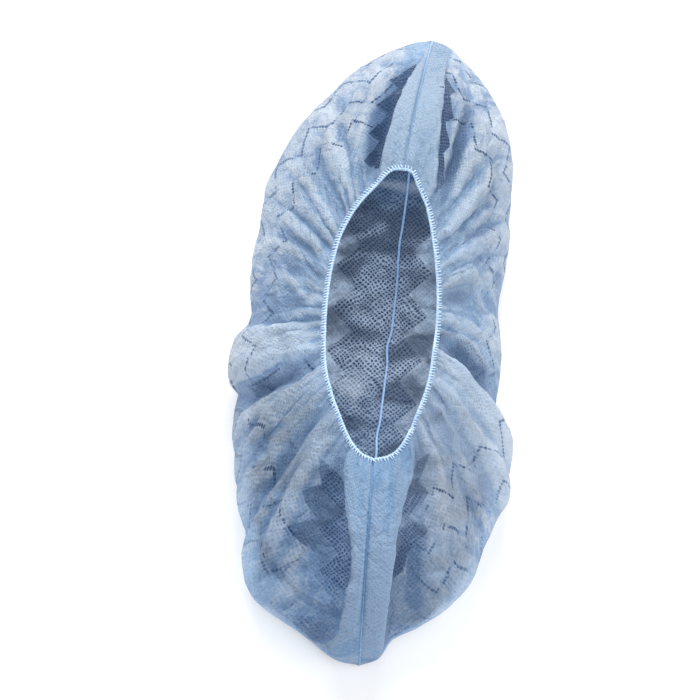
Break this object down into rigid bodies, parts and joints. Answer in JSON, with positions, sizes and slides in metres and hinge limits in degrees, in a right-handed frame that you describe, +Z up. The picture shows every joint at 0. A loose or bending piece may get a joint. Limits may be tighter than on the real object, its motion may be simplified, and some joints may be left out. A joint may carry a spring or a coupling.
{
  "type": "disposable shoe cover",
  "caption": "Thin light blue non-woven overshoe with an elastic opening, gathered cloth, a centre seam and a zigzag anti-slip tread, standing open on its sole.",
  "frame": {"origin": "on the floor under the middle of the part's box", "axes": "+Y towards the toe, +X to the right seen from above with the toe away, +Z up out of the opening"},
  "size_m": [0.1714, 0.3918, 0.0813],
  "materials": {
    "cloth": "soft matte non-woven",
    "seam": "soft matte non-woven",
    "elastic": "overlocked white thread",
    "tread": "matte whitish coating"
  },
  "bodies": {
    "root": {"left_panel": "cloth", "right_panel": "cloth", "centre_seam": "seam", "elastic_edging": "elastic", "tread_left_inner": "tread", "tread_left_outer": "tread", "tread_right_inner": "tread", "tread_right_outer": "tread"}
  },
  "joints": []
}
